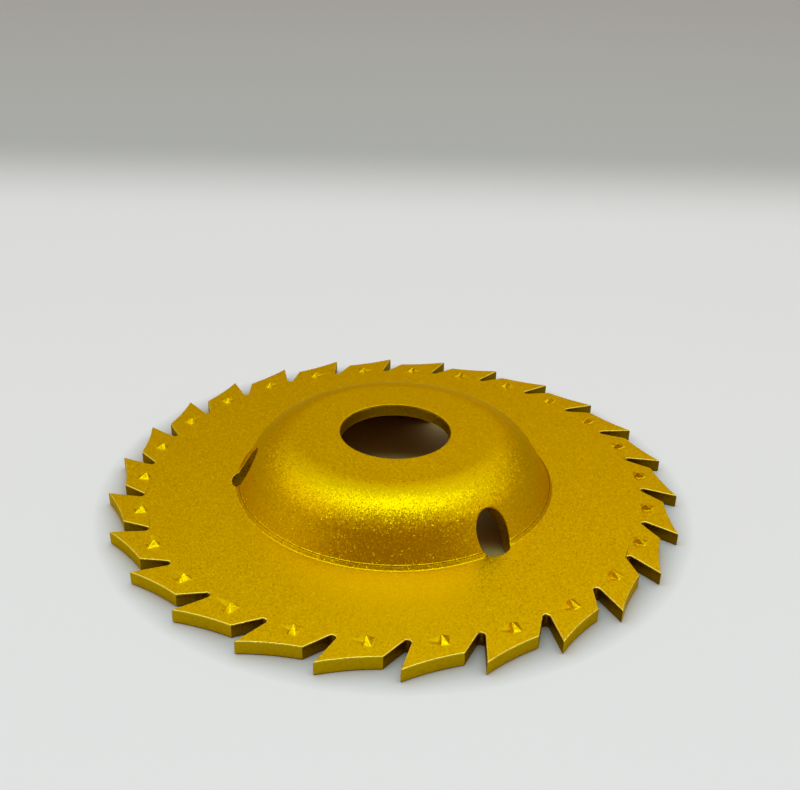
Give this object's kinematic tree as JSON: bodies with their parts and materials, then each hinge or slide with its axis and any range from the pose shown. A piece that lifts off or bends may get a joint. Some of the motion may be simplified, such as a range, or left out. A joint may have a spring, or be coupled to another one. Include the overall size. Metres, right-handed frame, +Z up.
{
  "type": "wood carving disc",
  "caption": "Gold-painted steel wood carving disc for an angle grinder, with a raised dome, round arbor bore, holes at the dome's foot, saw-toothed rim and a punched barb behind each tooth.",
  "frame": {"origin": "on the arbor bore's axis, in the plane of the flat flange's underside, on which the disc rests", "axes": "+Z up along the bore's axis, from the underside towards the dome's crown; +X to the right and +Y away from the viewer in the picture's view; seen from above the teeth point clockwise"},
  "size_m": [0.1146, 0.115, 0.0136],
  "materials": {
    "gold_paint": "gold metallic spray paint, satin with fine flakes"
  },
  "bodies": {
    "root": {"carving_disc": "gold_paint"}
  },
  "joints": []
}
